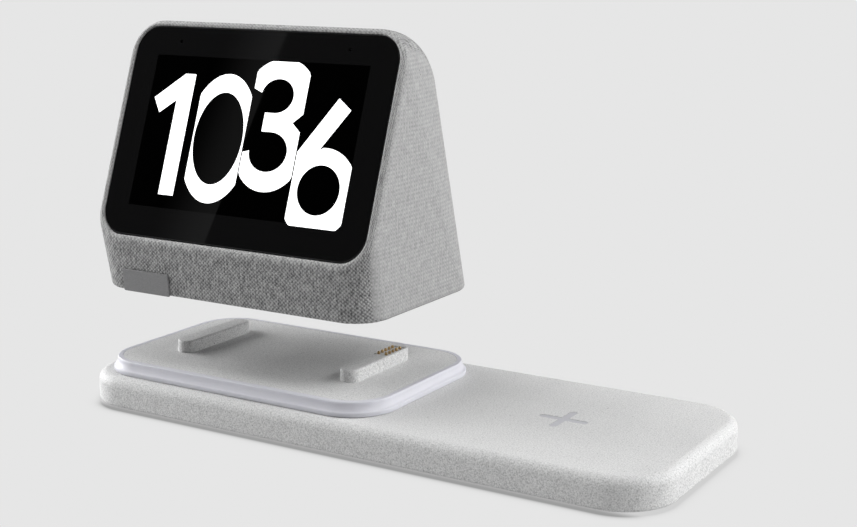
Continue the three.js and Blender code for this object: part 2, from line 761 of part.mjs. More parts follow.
const group = new THREE.Group();
group.name = 'smart_display';
group.add(
  unit,
  named('dock_top_shell', dockTopShell(), SPECKLED),
  named('light_ring', lightRing(), FROSTED),
  named('seat_plate', seatPlate(), SPECKLED),
  named('pin_block', pinBlock(), SPECKLED),
  named('light_board', slab(98, 56, 8, 9.7, 10.9, { cx: UNIT_X }), BOARD),
  named('dock_base', dockBase(), SPECKLED),
  named('dock_foot_pad', slab(200, 66, 12, 0, 0.8), RUBBER),
  named('dock_board', block(96, 50, 1.2, UNIT_X, -4, 4.2), BOARD),
  named('usb_port', usbPort(), STEEL),
  named('usb_tongue', usbTongue(), DARK_PLASTIC),
  named('dock_power_jack', dockPowerJack(), DARK_PLASTIC),
  named('charging_coil', chargingCoil(), COPPER),
  named('coil_shield', slab(54, 54, 3, 6.8, 7.6, { steps: 2, cx: MARK_X }), FERRITE),
  named('charge_mark', plusPrism(MARK_SPAN - 0.4, MARK_ARM - 0.4, 10.7, 11.2), FROSTED),
);
pinPlaces().forEach(([x, y], i) => {
  group.add(named(`contact_pin_${i + 1}`, contactPin(), GOLD, x, y));
});
dockScrewPlaces().forEach(([x, y], i) => {
  group.add(named(`dock_screw_${i + 1}`, dockScrew(), STEEL, x, y));
});

export default group;
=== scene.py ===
"""The looks of a cloth-covered smart display that hovers over its charging dock.

Shapes are drawn in millimetres in three frames: the dock's, the display unit's, whose origin is
under its foot ring, and the face's, whose origin is the middle of the glass's lower edge.
"""

import math

import bmesh
import bpy
from mathutils import Matrix, Vector
from mathutils.bvhtree import BVHTree


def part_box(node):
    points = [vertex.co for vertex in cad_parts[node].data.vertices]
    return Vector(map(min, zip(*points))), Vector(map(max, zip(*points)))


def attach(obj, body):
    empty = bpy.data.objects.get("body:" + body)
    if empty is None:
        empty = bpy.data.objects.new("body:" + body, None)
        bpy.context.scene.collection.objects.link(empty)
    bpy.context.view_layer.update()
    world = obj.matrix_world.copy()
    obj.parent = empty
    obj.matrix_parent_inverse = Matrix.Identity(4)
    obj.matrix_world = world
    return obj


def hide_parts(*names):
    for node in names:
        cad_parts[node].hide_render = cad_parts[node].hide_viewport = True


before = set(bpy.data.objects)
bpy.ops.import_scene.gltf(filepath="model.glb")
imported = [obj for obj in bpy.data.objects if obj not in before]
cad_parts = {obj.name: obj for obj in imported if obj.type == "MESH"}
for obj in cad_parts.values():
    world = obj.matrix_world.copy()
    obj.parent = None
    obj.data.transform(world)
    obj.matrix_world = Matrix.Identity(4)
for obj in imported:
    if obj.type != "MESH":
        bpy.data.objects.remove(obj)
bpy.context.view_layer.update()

MM = 0.001
QUARTER = math.pi / 2
TURN = 2 * math.pi


# ---- sizes, in millimetres -------------------------------------------------------------------
def size_of(node):
    """(lowest corner, highest corner) of a CAD node in millimetres."""
    low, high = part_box(node)
    return low / MM, high / MM


GAP = 0.3  # between pieces that touch
FACE_TILT = math.radians(20.1)  # the screen leans back
GLASS_THICK = 1.1
GLASS_CORNER = 9
RIM_BELOW = 4.6
RIM_ABOVE = 2.5
RIM_PROUD = 0.6
FACE_HALF_WIDTH = 56.6
FACE_CORNER = 12.4
FACE_EDGE = 2.7
SKIRT_Z = 3
SKIRT_HALF_WIDTH = 56.1
SKIRT_FRONT = -34.4
SKIRT_BACK = 34.05
SKIRT_CORNER = 12
SKIRT_EDGE = 1.5
BACK_Y = -5.4
BACK_Z = 69.3
BACK_RADIUS = 23
BACK_HALF_WIDTH = 54
BACK_EDGE = 10.5
CLOTH = 1.2
WRAP_UNDER = 4.5
YARN_PITCH = 1.52 * MM
YARN_RISE = 1.36 * MM
KEY_ANGLE = math.radians(64)
KEY_SPREAD = 15
KEY_WIDTH = 12
KEY_DEPTH = 5
PORT_WIDTH = 44
PORT_HEIGHT = 11
PORT_CORNER = 3
PORT_UP = 12.5
ACTIVE_WIDTH = 87.1
ACTIVE_HEIGHT = 52.3
ACTIVE_FOOT = 10.4
MIC_X = 34.6
MIC_UP = 67.7

COLUMN = 21.8  # each numeral's share of the picture's width
NUMERAL_PROUD = 0.02
LABEL_THICK = 0.5

DOCK_CORNER = 18
DOCK_EDGE = 3.4
DOCK_WALL = 2
DOCK_UNDERCUT = 1.0  # rounding of the shell's lower edge
PLINTH_CORNER = 14.5
RING_BULGE = 1.6
TAB_WIDTH = 7
TAB_LENGTH = 36
TAB_SPREAD = 34.8
TAB_Y = 1.7
SEAT_CORNER = PLINTH_CORNER - 1.8
SEAT_GAP = 0.1
MARK_ARM = 2.7
MARK_GAP = 0.06
MARK_DEPTH = 0.8
ABOVE = 1  # how far a cutter stands out of what it cuts

# The stage and the camera are in metres.
FLOOR_REACH = 30
WALL_REACH = 6
PAPER_LIGHT = 0.791
SHADOW_DEPTH = 0.42
SHADOW_REACH = 1.0 * MM
CENTRE = Vector((0, 0, 0.05))
EYE = Vector((0.2598, -0.4085, 0.1611))
LENS = 63.33
CAMERA_DIP = math.radians(12.42)
CAMERA_TURN = math.radians(31.4)
CARD_AWAY = 0.5
CARD_LIGHT = 0.22
FAR, FAR_SIZE = 1.2, 0.7
NEAR, NEAR_SIZE = 0.45, 0.3

ring_low, ring_high = size_of("light_ring")
dock_low, dock_high = size_of("dock_top_shell")
foot_low, foot_high = size_of("foot_ring")
glass_low, glass_high = size_of("cover_glass")
mark_low, mark_high = size_of("charge_mark")
seat_low, seat_high = size_of("seat_plate")
unit_x = (foot_low.x + foot_high.x) / 2
glass_width = glass_high.x - glass_low.x
lean_up, lean_back = math.cos(FACE_TILT), math.sin(FACE_TILT)
glass_height = (glass_high.y - glass_low.y - GLASS_THICK * lean_up) / lean_back
glass_y = glass_low.y
glass_z = glass_high.z - glass_height * lean_up - foot_low.z

DOCK = Matrix.Scale(MM, 4)
UNIT = DOCK @ Matrix.Translation((unit_x, 0, foot_low.z))
FACE = UNIT @ Matrix.Translation((0, glass_y, glass_z)) @ Matrix.Rotation(QUARTER - FACE_TILT, 4, "X")
back_run = math.hypot(SKIRT_BACK - BACK_Y, BACK_Z - SKIRT_Z)
back_lean = math.atan2(SKIRT_BACK - BACK_Y, BACK_Z - SKIRT_Z) - math.asin(BACK_RADIUS / back_run)
BACK = (
    UNIT
    @ Matrix.Translation((0, SKIRT_BACK, SKIRT_Z))
    @ Matrix.Rotation(back_lean - QUARTER, 4, "X")
    @ Matrix.Rotation(math.pi, 4, "Z")
)
KEYS = UNIT @ Matrix.Translation((0, BACK_Y, BACK_Z)) @ Matrix.Rotation(KEY_ANGLE - QUARTER, 4, "X")


# ---- shapes ----------------------------------------------------------------------------------
def outline(width, depth, radius, steps=16, cx=0.0, cy=0.0):
    """The points of a rounded rectangle, counter-clockwise."""
    radius = max(radius, 0.05)
    points = []
    for corner in range(4):
        x = cx + (1 if corner in (0, 3) else -1) * (width / 2 - radius)
        y = cy + (1 if corner < 2 else -1) * (depth / 2 - radius)
        for i in range(steps + 1):
            angle = QUARTER * (corner + i / steps)
            points.append((x + radius * math.cos(angle), y + radius * math.sin(angle)))
    return points


def linked(name, data):
    """A new object in the scene that shows a mesh, curve, light or camera."""
    made = bpy.data.objects.new(name, data)
    bpy.context.scene.collection.objects.link(made)
    return made


def object_from(name, bm):
    """An object that takes over a bmesh in metres."""
    mesh = bpy.data.meshes.new(name)
    bm.to_mesh(mesh)
    bm.free()
    return linked(name, mesh)


def mesh_object(name, bm, place):
    """An object from a bmesh in millimetres, put in its place in metres."""
    bmesh.ops.recalc_face_normals(bm, faces=bm.faces)
    bm.transform(place)
    return object_from(name, bm)


def lofted(name, rings, place):
    """A closed body through rings, each an (outline, height) with equally many points."""
    bm = bmesh.new()
    loops = [[bm.verts.new((x, y, z)) for x, y in points] for points, z in rings]
    for lower, upper in zip(loops, loops[1:]):
        for i in range(len(lower)):
            j = (i + 1) % len(lower)
            bm.faces.new((lower[i], lower[j], upper[j], upper[i]))
    bm.faces.new(reversed(loops[0]))
    bm.faces.new(loops[-1])
    return mesh_object(name, bm, place)


def slab(name, width, depth, radius, low, high, place, top=0.0, bottom=0.0, cx=0.0, cy=0.0, steps=16):
    """A rounded rectangle's prism with its top and bottom edges rounded."""
    rounds = 8
    rings = []
    for edge, height, sign in ((bottom, low, 1), (top, high, -1)):
        angles = [QUARTER * i / rounds for i in range(rounds + 1)] if edge else [QUARTER]
        if sign < 0:
            angles = angles[::-1]
        for angle in angles:
            inset = edge * (1 - math.sin(angle))
            points = outline(width - 2 * inset, depth - 2 * inset, radius - inset, steps, cx, cy)
            rings.append((points, height + sign * edge * (1 - math.cos(angle))))
    return lofted(name, rings, place)


def turned(name, profile, place, segments=48):
    """A body turned round z from a profile of (radius, height) that starts and ends on the axis."""
    bm = bmesh.new()
    rings = []
    for radius, z in profile[1:-1]:
        angles = [TURN * i / segments for i in range(segments)]
        rings.append([bm.verts.new((radius * math.cos(a), radius * math.sin(a), z)) for a in angles])
    for lower, upper in zip(rings, rings[1:]):
        for i in range(segments):
            j = (i + 1) % segments
            bm.faces.new((lower[i], lower[j], upper[j], upper[i]))
    for ring, (_, z) in ((rings[0], profile[0]), (rings[-1], profile[-1])):
        tip = bm.verts.new((0, 0, z))
        for i in range(segments):
            bm.faces.new((ring[i], ring[(i + 1) % segments], tip))
    return mesh_object(name, bm, place)


def applied(piece):
    """Replaces the piece's mesh by what its modifiers make of it."""
    graph = bpy.context.evaluated_depsgraph_get()
    mesh = bpy.data.meshes.new_from_object(piece.evaluated_get(graph))
    piece.modifiers.clear()
    piece.data = mesh
    return piece


def combined(piece, operation, others):
    """The piece with others added to it or cut out of it; the others are used up."""
    for other in others:
        step = piece.modifiers.new("combine", "BOOLEAN")
        step.operation = operation
        step.solver = "MANIFOLD"
        step.object = other
    applied(piece)
    for other in others:
        bpy.data.objects.remove(other)
    return piece


def carved(piece, *cutters):
    return combined(piece, "DIFFERENCE", cutters)


def joined(piece, *others):
    return combined(piece, "UNION", others)


def smoothed(piece, angle=35):
    """Smooth shading with sharp edges kept, and flat faces kept flat beside rounded edges."""
    piece.data.shade_smooth()
    piece.data.set_sharp_from_angle(angle=math.radians(angle))
    weighted = piece.modifiers.new("weighted", "WEIGHTED_NORMAL")
    weighted.keep_sharp = True
    return piece


def dressed(piece, material, body, slot, *nodes):
    """Gives the piece its material, its body and the CAD nodes that it stands for."""
    piece.data.materials.clear()
    piece.data.materials.append(material)
    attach(piece, body)
    if nodes:
        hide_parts(*nodes)
    return piece


# ---- node materials --------------------------------------------------------------------------
class Look:
    """A material whose nodes are added in short calls."""

    def __init__(self, name, color=(0.5, 0.5, 0.5), roughness=0.5, metallic=0.0):
        self.material = bpy.data.materials.new(name)
        self.material.use_nodes = True
        self.tree = self.material.node_tree
        self.shader = self.tree.nodes["Principled BSDF"]
        self.shader.inputs["Base Color"].default_value = (*color, 1)
        self.shader.inputs["Roughness"].default_value = roughness
        self.shader.inputs["Metallic"].default_value = metallic
        coordinates = self.tree.nodes.new("ShaderNodeTexCoord")
        self.place = coordinates.outputs["Object"]
        self.normal = coordinates.outputs["Normal"]

    def feed(self, socket, value):
        if isinstance(value, bpy.types.NodeSocket):
            self.tree.links.new(value, socket)
        else:
            socket.default_value = value

    def add(self, kind, inputs, **settings):
        node = self.tree.nodes.new(kind)
        for name, value in settings.items():
            setattr(node, name, value)
        for name, value in inputs.items():
            self.feed(node.inputs[name], value)
        return node

    def math(self, operation, a, b=0.0, c=0.0):
        node = self.add("ShaderNodeMath", {0: a, 1: b, 2: c}, operation=operation)
        return node.outputs[0]

    def times(self, a, b):
        return self.math("MULTIPLY", a, b)

    def plus(self, a, b):
        return self.math("ADD", a, b)

    def split(self, vector):
        return self.add("ShaderNodeSeparateXYZ", {0: vector}).outputs

    def combine(self, x, y, z=0.0):
        return self.add("ShaderNodeCombineXYZ", {0: x, 1: y, 2: z}).outputs[0]

    def scaled(self, vector, x, y, z):
        node = self.add("ShaderNodeVectorMath", {0: vector, 1: (x, y, z)}, operation="MULTIPLY")
        return node.outputs[0]

    def noise(self, grain, detail=2.0, rough=0.5, vector=None):
        """Noise whose blotches are about grain metres across."""
        vector = self.place if vector is None else vector
        inputs = {"Vector": vector, "Scale": 1 / grain, "Detail": detail, "Roughness": rough}
        return self.add("ShaderNodeTexNoise", inputs).outputs["Fac"]

    def ease(self, value, low, high, to_low=0.0, to_high=1.0):
        inputs = {0: value, 1: low, 2: high, 3: to_low, 4: to_high}
        node = self.add("ShaderNodeMapRange", inputs, interpolation_type="SMOOTHSTEP")
        return node.outputs[0]

    def blend(self, factor, a, b):
        """Mix of two numbers."""
        node = self.add("ShaderNodeMix", {0: factor, 2: a, 3: b}, data_type="FLOAT")
        return node.outputs[0]

    def tint(self, factor, a, b):
        """Mix of two colours."""
        inputs = {0: factor, 6: (*a, 1) if isinstance(a, tuple) else a}
        inputs[7] = (*b, 1) if isinstance(b, tuple) else b
        node = self.add("ShaderNodeMix", inputs, data_type="RGBA")
        return node.outputs[2]

    def bump(self, height, distance, strength=1.0):
        inputs = {"Height": height, "Distance": distance, "Strength": strength}
        self.feed(self.shader.inputs["Normal"], self.add("ShaderNodeBump", inputs).outputs[0])

    def color(self, value):
        self.feed(self.shader.inputs["Base Color"], value)

    def roughness(self, value):
        self.feed(self.shader.inputs["Roughness"], value)

    def glow(self, light):
        """Light of its own, and no gloss."""
        self.feed(self.shader.inputs["Emission Color"], light)
        self.shader.inputs["Emission Strength"].default_value = 1.0
        self.shader.inputs["Specular IOR Level"].default_value = 0.0


def weave(look, across, up, pitch_across, pitch_up):
    """(height, shade) of a basket weave: bumps on a centred lattice, each of its own shade."""
    s = look.times(across, 1 / pitch_across)
    t = look.times(up, 1 / pitch_up)
    wave_s = look.math("COSINE", look.times(s, TURN))
    wave_t = look.math("COSINE", look.times(t, TURN))
    height = look.times(wave_s, wave_t)
    cell = look.combine(
        look.math("ROUND", look.plus(s, t)), look.math("ROUND", look.math("SUBTRACT", s, t))
    )
    shade = look.add("ShaderNodeTexWhiteNoise", {"Vector": cell}).outputs["Value"]
    return height, shade


def beyond(look, across, up, half_width, half_height, corner):
    """How far a point lies outside a rounded rectangle, all in metres."""
    gaps = []
    for place, half in ((across, half_width), (up, half_height)):
        off = look.math("SUBTRACT", look.math("ABSOLUTE", place), half - corner)
        gaps.append(look.math("MAXIMUM", off, 0.0))
    reach = look.math("SQRT", look.plus(look.times(gaps[0], gaps[0]), look.times(gaps[1], gaps[1])))
    return look.math("MAXIMUM", look.math("SUBTRACT", reach, corner), 0.0)


def painted_rim_highlight(look, side_x, y, z):
    """1 beside the glass, where a pale band is painted on the cloth as a highlight, fading to 0 over the
    edge.
    """
    back = look.math("SUBTRACT", y, glass_y * MM)
    rise = look.math("SUBTRACT", z, (foot_low.z + glass_z) * MM)
    up = look.plus(look.times(rise, lean_up), look.times(back, lean_back))
    up = look.math("SUBTRACT", up, glass_height / 2 * MM)
    sunk = look.math("SUBTRACT", look.times(back, lean_up), look.times(rise, lean_back))
    sizes = (glass_width / 2 * MM, glass_height / 2 * MM, GLASS_CORNER * MM)
    beside = look.ease(beyond(look, side_x, up, *sizes), 0.4 * MM, 3.6 * MM, 1.0, 0.0)
    return look.times(beside, look.ease(sunk, 1 * MM, 3.5 * MM, 1.0, 0.0))


def cloth_look():
    """A heather-grey basket weave: light and dark yarns, bright fibres and a soft fuzz, with painted light
    on the sides and a painted highlight beside the glass.
    """
    look = Look("heather_weave", roughness=0.9)
    x, y, z = look.split(look.place)
    side_x = look.math("SUBTRACT", x, unit_x * MM)
    # Round the upright front and back corners the yarns follow the cloth's own length.
    flat = (SKIRT_HALF_WIDTH - SKIRT_CORNER) * MM
    radius = SKIRT_CORNER * MM
    off = look.math("ABSOLUTE", side_x)
    nearly_round = 0.995
    share = look.times(look.math("SUBTRACT", off, flat), 1 / radius)
    share = look.math("MINIMUM", share, nearly_round)
    bent = look.times(look.math("ARCSINE", look.math("MAXIMUM", share, 0.0)), radius)
    along = look.plus(look.math("MINIMUM", off, flat), bent)
    along = look.times(along, look.math("SIGN", side_x))
    nx, _, nz = look.split(look.normal)
    to_side = look.ease(look.math("ABSOLUTE", nx), 0.8, 0.9)
    to_top = look.ease(look.math("ABSOLUTE", nz), 0.72, 0.86)
    front = weave(look, along, z, YARN_PITCH, YARN_RISE)
    side = weave(look, y, z, YARN_PITCH, YARN_RISE)
    top = weave(look, along, y, YARN_PITCH, YARN_RISE)
    ribs = look.math("COSINE", look.times(z, TURN / YARN_RISE))
    side_height = look.blend(0.4, side[0], ribs)
    height = look.blend(to_top, look.blend(to_side, front[0], side_height), top[0])
    shade = look.blend(to_top, look.blend(to_side, front[1], side[1]), top[1])
    run = look.blend(to_side, along, y)
    streaks = look.noise(1, 2.0, 0.6, look.combine(look.times(run, 1500), look.times(z, 260)))
    rows = look.noise(1, 1.0, 0.5, look.combine(look.times(run, 300), look.times(z, 1300)))
    fibres = look.noise(0.25 * MM, 2.0, 0.6)
    mottle = look.noise(6 * MM, 3.0, 0.6)
    mix = look.times(height, 0.36)
    for part, weight in ((shade, 0.25), (streaks, 1.9), (rows, 0.5), (fibres, 1.5), (mottle, 0.12)):
        mix = look.plus(mix, look.times(look.math("SUBTRACT", part, 0.5), weight))
    # Painted light: the sides are painted paler than the front, with flatter contrast and bumps, as if
    # washed by light from the side.
    calm = look.blend(to_side, 1.0, 0.36)
    light = look.ease(look.times(mix, calm), -0.85, 0.85)
    # painted light: a paler tone added where the cloth faces sideways
    light = look.plus(light, look.times(to_side, 0.12))
    # Painted highlight: a pale band on the cloth along the glass's edge.
    light = look.plus(light, look.times(painted_rim_highlight(look, side_x, y, z), 0.34))
    pits = look.times(specks(look, 2.2 * MM, 0.5, 0.17), look.blend(to_side, 0.4, 0.75))
    weft = look.tint(light, (0.066, 0.067, 0.070), (0.475, 0.475, 0.472))
    look.color(look.tint(pits, weft, (0.06, 0.06, 0.062)))
    fuzz = look.plus(look.times(height, 0.8), look.times(fibres, 0.5))
    look.bump(look.times(fuzz, calm), 0.11 * MM)
    look.shader.inputs["Sheen Weight"].default_value = 0.12
    look.shader.inputs["Sheen Roughness"].default_value = 0.5
    look.shader.inputs["Specular IOR Level"].default_value = 0.2
    return look.material


def tag_look():
    """A tightly woven label, darker than the cloth it is sewn to."""
    look = Look("label_weave", roughness=0.85)
    x, y, z = look.split(look.place)
    height, shade = weave(look, x, z, 0.42 * MM, 0.34 * MM)
    threads = look.noise(1, 1.0, 0.5, look.combine(look.times(x, 500), look.times(z, 4000)))
    mix = look.plus(look.times(shade, 0.4), look.times(threads, 0.6))
    look.color(look.tint(mix, (0.20, 0.20, 0.204), (0.28, 0.28, 0.283)))
    look.bump(height, 0.03 * MM)
    look.shader.inputs["Sheen Weight"].default_value = 0.1
    look.shader.inputs["Specular IOR Level"].default_value = 0.2
    return look.material


def specks(look, cell, share, size):
    """1 on scattered round flecks: one in each of a share of the cells, of varied size."""
    inputs = {"Vector": look.place, "Scale": 1 / cell}
    cells = look.add("ShaderNodeTexVoronoi", inputs)
    chance = look.split(cells.outputs["Color"])[0]
    radius = look.ease(chance, 1 - share, 1.0, 0.0, size)
    inside = look.math("SUBTRACT", radius, cells.outputs["Distance"])
    return look.ease(inside, 0.0, 0.08)


def speckled_look():
    """Pale moulded plastic full of fine dark and white flecks, fainter on its upper faces."""
    look = Look("speckled_plastic", roughness=0.55)
    cloud = look.noise(14 * MM, 3.0, 0.55)
    grain = look.noise(0.45 * MM, 2.0, 0.7)
    facing_up = look.ease(look.split(look.normal)[2], 0.5, 0.9)
    strength = look.blend(facing_up, 1.0, 0.75)
    base = look.tint(cloud, (0.60, 0.602, 0.602), (0.67, 0.67, 0.667))
    grey = look.times(look.ease(grain, 0.50, 0.66), look.times(strength, 0.6))
    white = look.times(look.ease(grain, 0.36, 0.48, 1.0, 0.0), look.times(strength, 0.8))
    fine = look.times(specks(look, 0.95 * MM, 0.45, 0.28), look.times(strength, 0.55))
    coarse = look.times(specks(look, 2.6 * MM, 0.4, 0.14), look.times(strength, 0.7))
    base = look.tint(white, base, (0.80, 0.80, 0.795))
    base = look.tint(grey, base, (0.30, 0.30, 0.305))
    base = look.tint(fine, base, (0.20, 0.20, 0.205))
    look.color(look.tint(coarse, base, (0.10, 0.10, 0.11)))
    look.roughness(look.ease(cloud, 0.3, 0.7, 0.55, 0.65))
    look.bump(grain, 0.012 * MM)
    look.shader.inputs["Specular IOR Level"].default_value = 0.3
    return look.material


def ring_look():
    """Milky translucent plastic with a faint cool tint."""
    look = Look("milky_ring", roughness=0.45)
    cloud = look.noise(11 * MM, 2.0, 0.5)
    look.color(look.tint(cloud, (0.59, 0.59, 0.64), (0.64, 0.64, 0.685)))
    look.roughness(look.ease(cloud, 0.3, 0.7, 0.42, 0.48))
    look.shader.inputs["Specular IOR Level"].default_value = 0.35
    look.shader.inputs["Subsurface Weight"].default_value = 0.3
    look.shader.inputs["Subsurface Scale"].default_value = 1.5 * MM
    look.shader.inputs["Subsurface Radius"].default_value = (1, 1, 1.1)
    return look.material


def mark_look():
    """The same milky plastic, duller, where it lies flush in the pad."""
    look = Look("milky_mark", roughness=0.6)
    cloud = look.noise(5 * MM, 2.0, 0.5)
    look.color(look.tint(cloud, (0.48, 0.48, 0.51), (0.52, 0.52, 0.55)))
    return look.material


def glass_look():
    """Black glass over a dark printed border and a darker picture area, with faint smudges."""
    look = Look("black_glass", roughness=0.02)
    x, y, z = look.split(look.place)
    across = look.math("ABSOLUTE", look.math("SUBTRACT", x, unit_x * MM))
    middle = foot_low.z + glass_z + (ACTIVE_FOOT + ACTIVE_HEIGHT / 2) * lean_up
    up = look.math("ABSOLUTE", look.math("SUBTRACT", z, middle * MM))
    beside = look.ease(across, ACTIVE_WIDTH / 2 * MM, (ACTIVE_WIDTH / 2 + 0.15) * MM)
    over = look.ease(up, ACTIVE_HEIGHT / 2 * lean_up * MM, (ACTIVE_HEIGHT / 2 * lean_up + 0.15) * MM)
    border = look.math("MAXIMUM", beside, over)
    print_grain = look.noise(0.6 * MM, 2.0, 0.5)
    printed = look.tint(print_grain, (0.0050, 0.0050, 0.0052), (0.0058, 0.0058, 0.0060))
    look.color(look.tint(border, (0.0004, 0.0004, 0.0004), printed))
    smudge = look.noise(22 * MM, 4.0, 0.6)
    look.roughness(look.ease(smudge, 0.35, 0.75, 0.015, 0.04))
    look.shader.inputs["Specular IOR Level"].default_value = 0.35
    return look.material


def digit_look():
    """White light from the picture's own numerals, with its fine pixel rows."""
    look = Look("lit_numerals", color=(0.9, 0.9, 0.9), roughness=0.4)
    x, y, z = look.split(look.place)
    rows = look.math("COSINE", look.times(z, TURN / (0.11 * MM)))
    light = look.tint(look.ease(rows, -1, 1), (0.97, 0.98, 1.0), (1.0, 1.0, 1.0))
    look.feed(look.shader.inputs["Emission Color"], light)
    look.shader.inputs["Emission Strength"].default_value = 1.1
    return look.material


def metal_look(name, dark, bright, roughness, stretch=(1, 1, 12)):
    """Metal with fine drawn lines and a few dull patches."""
    look = Look(name, roughness=roughness, metallic=1.0)
    lines = look.noise(0.12 * MM, 2.0, 0.6, look.scaled(look.place, *stretch))
    patches = look.noise(4 * MM, 3.0, 0.6)
    look.color(look.tint(look.plus(look.times(lines, 0.4), look.times(patches, 0.6)), dark, bright))
    look.roughness(look.ease(patches, 0.3, 0.7, roughness - 0.08, roughness + 0.1))
    look.bump(lines, 0.004 * MM)
    return look.material


def plastic_look(name, dark, bright, roughness, grain=0.4):
    """Moulded plastic with a spark-eroded grain and slightly polished patches."""
    look = Look(name, roughness=roughness)
    pebbles = look.noise(grain * MM, 3.0, 0.6)
    patches = look.noise(12 * MM, 3.0, 0.6)
    look.color(look.tint(look.plus(look.times(pebbles, 0.5), look.times(patches, 0.5)), dark, bright))
    look.roughness(look.ease(patches, 0.3, 0.7, roughness - 0.06, roughness + 0.06))
    look.bump(pebbles, 0.02 * MM)
    return look.material


def board_look():
    """Green solder mask over copper tracks and rows of tinned pads."""
    look = Look("solder_mask", roughness=0.35)
    inputs = {"Vector": look.place, "Scale": 1 / (2.6 * MM)}
    cells = look.add("ShaderNodeTexVoronoi", inputs, distance="CHEBYCHEV")
    track = look.ease(cells.outputs["Distance"], 0.42, 0.46)
    pads = specks(look, 3.1 * MM, 0.5, 0.28)
    cloud = look.noise(8 * MM, 2.0, 0.5)
    mask = look.tint(cloud, (0.012, 0.07, 0.035), (0.018, 0.095, 0.05))
    mask = look.tint(track, mask, (0.03, 0.16, 0.08))
    look.color(look.tint(pads, mask, (0.62, 0.60, 0.55)))
    look.bump(look.plus(track, pads), 0.03 * MM)
    return look.material


def coil_look():
    """Flat-wound enamelled copper wire, turn beside turn."""
    look = Look("copper_winding", roughness=0.35, metallic=1.0)
    x, y, z = look.split(look.place)
    middle = (mark_low.x + mark_high.x) / 2 * MM
    from_middle = look.math("SUBTRACT", x, middle)
    reach = look.math("SQRT", look.plus(look.times(from_middle, from_middle), look.times(y, y)))
    turns = look.math("COSINE", look.times(reach, TURN / (1.15 * MM)))
    look.color(look.tint(look.ease(turns, -1, 1), (0.28, 0.09, 0.03), (0.72, 0.33, 0.16)))
    look.bump(turns, 0.2 * MM)
    return look.material


def paper_look():
    """Pressed paper with long pale fibres."""
    look = Look("cone_paper", roughness=0.9)
    fibres = look.noise(0.5 * MM, 4.0, 0.7, look.scaled(look.place, 1, 3, 1))
    look.color(look.tint(fibres, (0.012, 0.011, 0.010), (0.07, 0.062, 0.055)))
    look.bump(fibres, 0.05 * MM)
    return look.material


CLOTH_LOOK = cloth_look()
TAG_LOOK = tag_look()
SPECKLED = speckled_look()
RING_LOOK = ring_look()
MARK_LOOK = mark_look()
GLASS_LOOK = glass_look()
DIGITS = digit_look()
GOLD = metal_look("gold_plate", (0.42, 0.28, 0.13), (0.72, 0.53, 0.28), 0.33)
STEEL = metal_look("drawn_steel", (0.42, 0.42, 0.43), (0.66, 0.66, 0.67), 0.32)
ALUMINIUM = metal_look("rolled_aluminium", (0.62, 0.63, 0.64), (0.82, 0.82, 0.83), 0.38, (12, 1, 1))
COPPER = metal_look("copper_foil", (0.45, 0.16, 0.07), (0.80, 0.40, 0.22), 0.35)
FERRITE = plastic_look("ferrite", (0.03, 0.03, 0.032), (0.075, 0.075, 0.078), 0.6, 0.25)
RUBBER = plastic_look("rubber", (0.028, 0.028, 0.03), (0.05, 0.05, 0.052), 0.8, 0.6)
DARK_PLASTIC = plastic_look("dark_plastic", (0.016, 0.016, 0.017), (0.032, 0.032, 0.034), 0.5)
GREY_PLASTIC = plastic_look("grey_plastic", (0.22, 0.22, 0.225), (0.29, 0.29, 0.295), 0.5)
BOARD = board_look()
COIL = coil_look()
PAPER = paper_look()

# ---- CAD nodes that stay, each with its look ----------------------------------------------------
KEPT = {
    "inner_housing": GREY_PLASTIC,
    "panel_frame": DARK_PLASTIC,
    "display_panel": DARK_PLASTIC,
    "backlight_tray": STEEL,
    "heat_spreader": ALUMINIUM,
    "processor_shield": STEEL,
    "main_board": BOARD,
    "microphone_left": STEEL,
    "microphone_right": STEEL,
    "wifi_antenna": COPPER,
    "key_board": BOARD,
    "volume_down_key": GREY_PLASTIC,
    "volume_up_key": GREY_PLASTIC,
    "speaker_enclosure": DARK_PLASTIC,
    "speaker_basket": STEEL,
    "speaker_cone": PAPER,
    "speaker_surround": RUBBER,
    "speaker_magnet": FERRITE,
    "rear_port_plate": GREY_PLASTIC,
    "display_power_jack": DARK_PLASTIC,
    "mute_slider": DARK_PLASTIC,
    "mute_switch": STEEL,
    "base_cover": GREY_PLASTIC,
    "foot_ring": RUBBER,
    "contact_board": BOARD,
    "pin_block": SPECKLED,
    "light_board": BOARD,
    "dock_base": SPECKLED,
    "dock_foot_pad": RUBBER,
    "dock_board": BOARD,
    "usb_port": STEEL,
    "usb_tongue": DARK_PLASTIC,
    "dock_power_jack": DARK_PLASTIC,
    "charging_coil": COIL,
    "coil_shield": FERRITE,
}
KEPT.update({f"cover_screw_{i}": STEEL for i in range(1, 5)})
KEPT.update({f"dock_screw_{i}": STEEL for i in range(1, 5)})
for node, look in KEPT.items():
    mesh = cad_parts[node].data
    mesh.materials.clear()
    mesh.materials.append(look)


